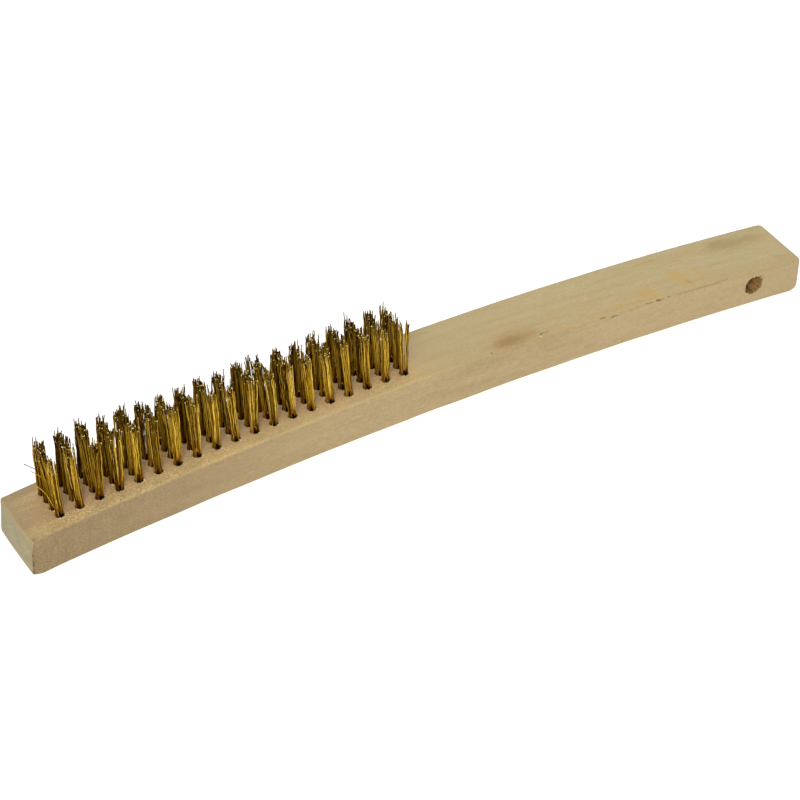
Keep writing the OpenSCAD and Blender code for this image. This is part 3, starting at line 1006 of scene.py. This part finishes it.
def mark_holes(mesh):
    """Adds hole (depth in a tuft hole, 0 to 1) and bore (1 on the hanging hole's wall)."""
    flat = np.zeros(len(mesh.vertices) * 3, np.float32)
    mesh.vertices.foreach_get("co", flat)
    points = flat.reshape(-1, 3).astype(float) / MM
    hole = np.zeros(len(points))
    for row in range(ROWS):
        for line in range(LINES):
            mouth, tailwards, farwards, rise = hole_axes(row, line)
            offset = points - mouth
            height = offset @ rise
            inside = (
                (np.abs(offset[:, 0]) < 4)
                & (np.hypot(offset @ tailwards, offset @ farwards) < HOLE_RADIUS + 0.22)
                & (height < 0.12) & (height > -14)
            )
            depth = smooth(-height[inside], -0.05, 0.9) * 0.92 + 0.08
            hole[inside] = np.maximum(hole[inside], depth)
    from_axis = np.hypot(points[:, 0] - HANG_X, points[:, 2] - HANG_Z)
    bore = (from_axis < HANG_RADIUS + 0.55) & (np.abs(points[:, 1]) < HALF_WIDTH - 0.15)
    add_attribute(mesh, "hole", hole)
    add_attribute(mesh, "bore", bore)


def make_block():
    verts, faces, edge = block_shell()
    weather(verts, edge)
    block = mesh_object("block_body", verts, faces, {"edge": edge_grime_and_shade(verts, edge)})
    cut(block, [*tuft_hole_cutters(), hang_hole_cutter()], "holes")
    cut(block, rim_chips(), "rim_chips")
    cut(block, edge_chips(), "edge_chips")
    mark_holes(block.data)
    block.data.shade_smooth()
    block.data.set_sharp_from_angle(angle=math.radians(38))
    block.data.materials.clear()
    block.data.materials.append(wood_material())
    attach(block, "block")
    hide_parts("handle_block")


# ---------------------------------------------------------------- torn fibres
def tuft_splinter(rng, mouth, tailwards, farwards, rise):
    """One torn fibre at the mouth of a tuft hole."""
    pick = rng.random()
    # mostly on the near side, then on the tail side, a few anywhere
    if pick < 0.55:
        angle = math.radians(rng.normal(-100, 42))
    elif pick < 0.88:
        angle = math.radians(rng.normal(-18, 34))
    else:
        angle = rng.uniform(0, 2 * math.pi)
    out = tailwards * math.cos(angle) + farwards * math.sin(angle)
    across = np.cross(rise, out)
    length = rng.uniform(0.6, 1.5)
    width = rng.uniform(0.24, 0.50)
    lift = rng.uniform(0.05, 0.30)
    foot = mouth + out * (HOLE_RADIUS + 0.12 + length * 0.55) - rise * 0.06
    tip = mouth + out * (HOLE_RADIUS + 0.10 - rng.uniform(-0.05, 0.42))
    tip = tip + rise * (0.04 + lift) + across * rng.normal(0, 0.12)
    middle = foot * 0.5 + tip * 0.5 + rise * 0.05
    verts = [
        foot + across * width * 0.6, foot - across * width * 0.6,
        middle + across * width * 0.5, middle - across * width * 0.5,
        tip + rise * 0.02, foot - rise * 0.14, tip * 0.6 + foot * 0.4 - rise * 0.12,
    ]
    faces = [(0, 1, 3, 2), (2, 3, 4), (1, 0, 5), (0, 2, 6, 5), (1, 5, 6, 3), (2, 4, 6), (3, 6, 4)]
    return verts, faces


def rim_splinter(degrees, length, width, depth):
    """One torn fibre at the near mouth of the hanging hole."""
    angle = math.radians(degrees)
    out = np.array([math.cos(angle), 0, math.sin(angle)])
    side = np.array([-math.sin(angle), 0, math.cos(angle)]) * width
    deep = np.array([0, 1.0, 0]) * depth
    rim = np.array([HANG_X, -HALF_WIDTH + 0.35, HANG_Z]) + out * (HANG_RADIUS + 0.35)
    tip = rim - out * (length + 0.35) + side * 0.4 + deep * 0.4
    verts = [rim + side, rim - side, rim + side + deep, rim - side + deep, tip]
    return verts, [(0, 1, 3, 2), (1, 0, 4), (0, 2, 4), (2, 3, 4), (3, 1, 4)]


def make_splinters():
    rng = np.random.default_rng(4242)
    parts = []
    for row in range(ROWS):
        for line in range(LINES):
            axes = hole_axes(row, line)
            for _ in range(rng.integers(3, 6)):
                parts.append(tuft_splinter(rng, *axes))
    parts.append(rim_splinter(degrees=84, length=1.0, width=0.46, depth=0.5))
    parts.append(rim_splinter(degrees=110, length=0.45, width=0.30, depth=0.4))
    parts.append(rim_splinter(degrees=236, length=0.45, width=0.42, depth=0.5))
    splinters = mesh_object("rim_splinters", *gather(parts))
    splinters.data.materials.append(splinter_material())
    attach(splinters, "block")


# ---------------------------------------------------------------- the wire
# tufts whose halves stand apart to the tip, (row, line): lean of the toe-side and of the
# tail-side half, degrees towards the tail
SPLIT_TUFTS = {
    (18, 0): (0.4, 2.7), (3, 0): (-0.8, 2.8), (9, 1): (-3.0, 2.6),
    (5, 2): (-3.2, 2.0), (11, 3): (-2.4, 2.8),
}
# share of the full height left in the farthest line, row by row
FAR_HEIGHT = (
    0.95, 0.97, 0.95, 0.92, 0.93, 0.87, 0.84, 0.88, 0.89, 0.85,
    0.89, 0.87, 0.85, 0.85, 0.93, 0.88, 0.92, 0.90, 0.92,
)
# extra lean of the nearest line towards the toe, row by row, degrees
NEAR_LEAN = (
    2.0, 2.5, -0.5, 1.5, 1.0, 1.0, 1.5, 0.5, 0.5, 3.0,
    -1.5, 2.0, 2.0, 2.5, 3.2, 2.5, 0.5, -0.8, -2.0,
)
# lean of the other lines towards the tail: mean and spread, degrees
LINE_LEAN = {1: (-1.0, 1.2), 2: (-0.5, 1.1), 3: (2.0, 0.9)}
# painted shade: the farther lines are darker, as the nearer lines shade them
LINE_SHADE = (0.0, 0.14, 0.25, 0.30)  # how much darker each line is than bright brass

# heights along a wire end: below 0 in mm from the mouth, above as a share of its length
END_STEPS = np.array([
    -9.9, -6.0, -2.5, 0.0, 0.05, 0.11, 0.18, 0.26, 0.35,
    0.44, 0.53, 0.62, 0.71, 0.80, 0.88, 0.94, 0.985, 1.0,
])

# what each point of a wire carries: height share, brass tone, root darkness (painted shade), cut
# face (painted glint)
TRAITS = ("along", "tone", "root", "cut")
FOLD_TRAITS = (-0.45, 0.3, 1.0, 0.0)

# stray wires at the toe: points (x, y, height over the block's top), tone, last height share
LOOSE_WIRES = (
    (((-159.9, 2.6, -3), (-160.5, 2.6, 6.0), (-161.6, 2.7, 12.2), (-163.6, 2.9, 15.8),
      (-166.0, 3.0, 18.3), (-168.3, 3.0, 20.6)), 0.15, 0.95),
    (((-160.2, -2.6, -3), (-160.7, -2.4, 6.0), (-161.4, -2.3, 12.4), (-163.0, -2.2, 15.0),
      (-165.6, -2.2, 18.2), (-168.1, -2.2, 20.9)), 0.85, 0.55),
    (((-160.3, -6.9, -3), (-160.9, -6.8, 1.5), (-162.2, -6.2, 5.6), (-163.5, -5.0, 9.3),
      (-165.3, -3.9, 12.4), (-167.0, -3.0, 14.1)), 0.9, 0.50),
)


def sweep(path, radius):
    """Closed tube round a path of points."""
    tangent = np.gradient(path, axis=0)
    tangent /= np.linalg.norm(tangent, axis=1)[:, None]
    first = np.cross(tangent, np.array([0, 1.0, 0.0]))
    first /= np.maximum(np.linalg.norm(first, axis=1), 1e-9)[:, None]
    second = np.cross(tangent, first)
    angles = np.linspace(0, 2 * math.pi, WIRE_SIDES, endpoint=False)[None, :, None]
    spokes = np.cos(angles) * first[:, None, :] + np.sin(angles) * second[:, None, :]
    verts = path[:, None, :] + radius * spokes
    faces = []
    last = (len(path) - 1) * WIRE_SIDES
    for a in range(0, last, WIRE_SIDES):
        b = a + WIRE_SIDES
        for k in range(WIRE_SIDES):
            after = (k + 1) % WIRE_SIDES
            faces.append((a + k, b + k, b + after, a + after))
    faces.append(tuple(range(WIRE_SIDES)))
    faces.append(tuple(reversed(range(last, last + WIRE_SIDES))))
    return verts.reshape(-1, 3), faces


def leg_places(rng, inner, keep_out=None, limit=1.54):
    """Evenly spread wire places (distance from the anchor, across) in half a hole.

    keep_out is a circle (distance, across, radius) that stays open.
    """
    places = np.zeros((0, 2))
    while len(places) < HAIRPINS:
        tries = np.stack([rng.uniform(inner, limit, 20), rng.uniform(-limit, limit, 20)], 1)
        fits = np.hypot(tries[:, 0], tries[:, 1]) <= limit
        if keep_out:
            distance, across, radius = keep_out
            fits &= np.hypot(tries[:, 0] - distance, tries[:, 1] - across) >= radius
        tries = tries[fits]
        if not len(tries):
            continue
        best = 0
        if len(places):
            # the try farthest from its nearest neighbour
            gaps = np.hypot(tries[:, None, 0] - places[None, :, 0],
                            tries[:, None, 1] - places[None, :, 1])
            best = int(np.argmax(gaps.min(1)))
        places = np.vstack([places, tries[best]])
    return [tuple(place) for place in places.tolist()]


def matched(places, targets):
    """Orders targets so that each wire keeps roughly its place in the bundle as it rises."""
    left = list(targets)
    ordered = []
    for a, b in places:
        costs = [(target[0] - a) ** 2 * 0.5 + (target[1] - b) ** 2 for target in left]
        ordered.append(left.pop(costs.index(min(costs))))
    return ordered


def wire_length(rng, height):
    length = height * (0.99 - 0.115 * rng.random())
    pick = rng.random()
    if pick < 0.04:
        return height * rng.uniform(1.02, 1.09)
    if pick < 0.11:
        return height * rng.uniform(0.99, 1.04)
    if pick < 0.27:
        return height * rng.uniform(0.74, 0.90)
    return length


def wire_end(rng, tuft, half, mouth_place, upper_place):
    """One free end from the anchor to the tip: its points and their traits."""
    sign, (u0, w0), (u1, w1) = half.sign, mouth_place, upper_place
    length = wire_length(rng, tuft.height)
    up = np.where(END_STEPS < 0, END_STEPS, END_STEPS * length)
    above = np.clip(up, 0, None)
    share = above / 27.0
    wobble = rng.uniform(0.03, 0.18)
    phases = rng.uniform(0, 6.28, 4)
    wavelengths = rng.uniform(6, 14, 2)
    stray = rng.normal(0, 0.24, 2) * (3.2 if rng.random() < 0.11 else 1.0)
    # u runs tailwards and w to the far side; from the mouth place to the upper place
    rise = smooth(up, 0.2, tuft.closes)
    u = sign * (u0 + (u1 - u0) * rise) * (1 + tuft.flare * share)
    w = (w0 + (w1 * 0.95 - w0) * rise) * (1 + (tuft.flare + 0.12) * share)

    def bent(place, lean, k):
        """Adds lean, stray, wobble and the tuft's bow."""
        wave = np.sin(up / wavelengths[k] * 6.28 + phases[k]) * smooth(up, 0, 4)
        place = place + above * math.tan(lean) + stray[k] * share ** 1.5 + wobble * wave
        return place + tuft.bow[k] * np.sin(np.clip(share, 0, 1) * math.pi)

    u = bent(u, half.lean, 0)
    w = bent(w, half.tilt, 1)
    # the halves twist a little between the anchor and the mouth
    twist = tuft.turn * smooth(up, -9.0, -1.0)
    u, w = u * np.cos(twist) + w * np.sin(twist), w * np.cos(twist) - u * np.sin(twist)
    points = (tuft.mouth + np.outer(u, tuft.tailwards) + np.outer(w, tuft.farwards)
              + np.outer(up, tuft.rise))
    # painted shade: roots are dark in the hole and up to or just above the mouth
    if sign < 0 or w0 < -0.4:
        dark_span = (-1.4, rng.uniform(-0.1, 0.4))
    else:
        dark_span = (0.2, rng.uniform(0.7, 1.6))
    cut_face = np.zeros(len(up))
    # about a quarter of the ends get a cut face painted pale as a glint
    cut_face[-1] = 1.0 if rng.random() < 0.26 else 0.0
    # the wire's tone: partly random, partly painted shade (dark wires) and painted highlight
    # (bright wires, and the few at 1.02)
    tone = rng.choice(
        [rng.uniform(0.0, 0.25), rng.uniform(0.42, 0.70), rng.uniform(0.78, 0.96), 1.02],
        p=[0.30, 0.33, 0.33, 0.04],
    )
    tone = min(max(tone - tuft.darker + tuft.dark_half * sign, 0.0), 1.0)
    traits = [up / tuft.height, np.full(len(up), tone), 1 - smooth(up, *dark_span), cut_face]
    return points, np.array(traits)


def hairpin(toe_end, tail_end, drop, rise):
    """Joins two ends by the fold under the anchor."""
    (toe_points, toe_traits), (tail_points, tail_traits) = toe_end, tail_end
    middle = (toe_points[0] + tail_points[0]) / 2
    reach = (toe_points[0] - tail_points[0]) / 2
    fold = np.array([
        middle + reach * math.cos(angle) - rise * (0.35 + drop * math.sin(angle))
        for angle in np.linspace(0, math.pi, 6)[1:-1]
    ])
    path = np.vstack([toe_points[::-1], fold, tail_points])
    fold_traits = np.repeat(np.array(FOLD_TRAITS)[:, None], len(fold), 1)
    traits = np.hstack([toe_traits[:, ::-1], fold_traits, tail_traits])
    return sweep(path, WIRE_RADIUS), np.repeat(traits, WIRE_SIDES, 1)


def build_tuft(row, line):
    """The hairpins of one tuft, as (part, traits) pairs."""
    rng = np.random.default_rng(7000 + 10 * row + line)
    tuft = SimpleNamespace()
    tuft.mouth, tuft.tailwards, tuft.farwards, tuft.rise = hole_axes(row, line)
    full_height = TOE_TUFT + (TAIL_TUFT - TOE_TUFT) * row / (ROWS - 1)
    worn = (1.0, 0.985, 0.98 if row < 5 else 0.955, FAR_HEIGHT[row])[line]
    tuft.height = full_height * (1 + rng.normal(0, 0.012)) * worn

    # at the mouth the halves stand apart and leave part of the near side open; above it
    # they close up, except in split tufts
    toe_places = leg_places(rng, 0.34, (0.15, -1.6, rng.uniform(0.35, 0.75)))
    opening = (rng.uniform(0.55, 1.05), rng.uniform(-1.35, -1.05), rng.uniform(0.62, 0.98))
    tail_places = leg_places(rng, 0.50, opening)
    toe_places.sort(key=lambda place: place[1])
    tail_places.sort(key=lambda place: place[1])
    split = SPLIT_TUFTS.get((row, line))
    inner = 0.25 if split else -0.15
    toe_upper = matched(toe_places, leg_places(rng, inner, limit=1.46))
    tail_upper = matched(tail_places, leg_places(rng, inner, limit=1.46))
    tuft.closes = rng.uniform(2.2, 5.5)

    if line == 0:
        lean = -NEAR_LEAN[row] + rng.normal(0, 0.3)
    else:
        lean = rng.normal(*LINE_LEAN[line])
    apart = abs(rng.normal(0.0, 0.6))
    toe_lean, tail_lean = split or (lean - apart, lean + apart)
    toe_tilt = math.radians(rng.normal(0.2, 1.2))
    tail_tilt = toe_tilt + math.radians(rng.normal(0.0, 0.4))
    toe_half = SimpleNamespace(sign=-1, lean=math.radians(toe_lean), tilt=toe_tilt)
    tail_half = SimpleNamespace(sign=1, lean=math.radians(tail_lean), tilt=tail_tilt)
    tuft.flare = rng.uniform(0.0, 0.22)
    tuft.bow = rng.normal(0, 0.22, 2)
    tuft.turn = math.radians(rng.normal(30, 9))
    # painted shade on the farther lines, less towards the tail
    tuft.darker = LINE_SHADE[line] * (1 - 0.35 * row / (ROWS - 1))
    tuft.dark_half = rng.uniform(-0.12, 0.12)

    wires = []
    for toe, tail, toe_up, tail_up in zip(toe_places, tail_places, toe_upper, tail_upper):
        toe_end = wire_end(rng, tuft, toe_half, toe, toe_up)
        tail_end = wire_end(rng, tuft, tail_half, tail, tail_up)
        drop = min(1.55, 0.5 * (toe[0] + tail[0]) + 0.12)
        wires.append(hairpin(toe_end, tail_end, drop, tuft.rise))
    return wires


def loose_wire(points, tone, last_share):
    """A thinner stray wire, a Catmull-Rom curve through its control points."""
    steps = 16
    p = np.array(points, float)
    p[:, 2] += float(top_z(row_x(0)))
    t = np.linspace(0, len(p) - 1, steps)
    k = np.clip(t.astype(int), 0, len(p) - 2)
    f = (t - k)[:, None]
    before, start, end, after = p[np.maximum(k - 1, 0)], p[k], p[k + 1], p[
        np.minimum(k + 2, len(p) - 1)]
    path = 0.5 * (
        2 * start + (end - before) * f
        + (2 * before - 5 * start + 4 * end - after) * f ** 2
        + (3 * start - before - 3 * end + after) * f ** 3
    )
    traits = np.array([
        np.linspace(0.1, last_share, steps), np.full(steps, tone),
        np.linspace(1.0, -3.0, steps).clip(0, 1), np.zeros(steps),
    ])
    return sweep(path, WIRE_RADIUS * 0.8), np.repeat(traits, WIRE_SIDES, 1)


def make_bristle_row(row, material):
    wires = [wire for line in range(LINES) for wire in build_tuft(row, line)]
    if row == 0:
        wires += [loose_wire(*settings) for settings in LOOSE_WIRES]
    tag = f"{row + 1:02d}"
    verts, faces = gather(part for part, _ in wires)
    traits = np.hstack([wire_traits for _, wire_traits in wires])
    bristles = mesh_object("bristle_wires_" + tag, verts, faces, dict(zip(TRAITS, traits)))
    bristles.data.shade_smooth()
    bristles.data.set_sharp_from_angle(angle=math.radians(80))
    bristles.data.materials.append(material)
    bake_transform(bristles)
    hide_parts("bristle_row_" + tag, "bristle_roots_" + tag)


def dress_anchors():
    """Gives the CAD anchor wires their material."""
    material = anchor_material()
    for name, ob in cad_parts.items():
        if name.startswith("anchor_wires"):
            for slot in ob.material_slots:
                slot.material = material


# ---------------------------------------------------------------- floor, light and camera, m
def make_floor():
    bpy.ops.mesh.primitive_plane_add(size=6.0, location=(0, 0, -0.0002))
    floor = bpy.context.object
    floor.name = "studio_floor"
    floor.data.materials.append(floor_material())


def make_world():
    world = bpy.data.worlds.new("studio")
    bpy.context.scene.world = world
    world.use_nodes = True
    background = world.node_tree.nodes["Background"]
    background.inputs["Color"].default_value = (1.0, 1.0, 1.0, 1.0)
    background.inputs["Strength"].default_value = 0.50


def area_light(name, place, aim, size, power, colour=(1, 1, 1)):
    light = bpy.data.lights.new(name, "AREA")
    light.energy = power
    light.size = size
    light.color = colour
    ob = bpy.data.objects.new(name, light)
    ob.location = place
    ob.rotation_mode = "QUATERNION"
    ob.rotation_quaternion = (Vector(aim) - Vector(place)).to_track_quat("-Z", "Y")
    bpy.context.scene.collection.objects.link(ob)


def make_camera():
    """Looks down on the brush from the toe's near side."""
    data = bpy.data.cameras.new("camera")
    data.sensor_width = 36.0
    data.lens = 142.4756
    data.clip_start = 0.05
    data.clip_end = 20.0
    camera = bpy.data.objects.new("camera", data)
    bpy.context.scene.collection.objects.link(camera)
    right = Vector((0.852380951455235, -0.5224318148041659, 0.022621062678265396))
    up = Vector((0.31652096481923575, 0.5498920859268976, 0.7729380134686517))
    back = Vector((-0.41624655244958897, -0.6516775987521677, 0.6340781614741517))
    place = Vector((-0.5228021835679549, -0.8043360851476679, 0.7884176484316464))
    rotation = Matrix((right, up, back)).transposed().to_4x4()
    camera.matrix_world = Matrix.Translation(place) @ rotation
    bpy.context.scene.camera = camera


# ---------------------------------------------------------------- build
make_block()
make_splinters()
brass = wire_material()
for row_number in range(ROWS):
    make_bristle_row(row_number, brass)
dress_anchors()

make_floor()
make_world()
area_light("key", place=(-0.75, -0.90, 0.82), aim=(0, 0, 0.02), size=0.6, power=9.4,
           colour=(1.0, 0.985, 0.96))
area_light("top", place=(0.15, 0.25, 1.2), aim=(0, 0, 0.0), size=1.0, power=6.6)
make_camera()
bpy.context.scene.view_settings.view_transform = "Standard"
bpy.context.scene.view_settings.look = "None"
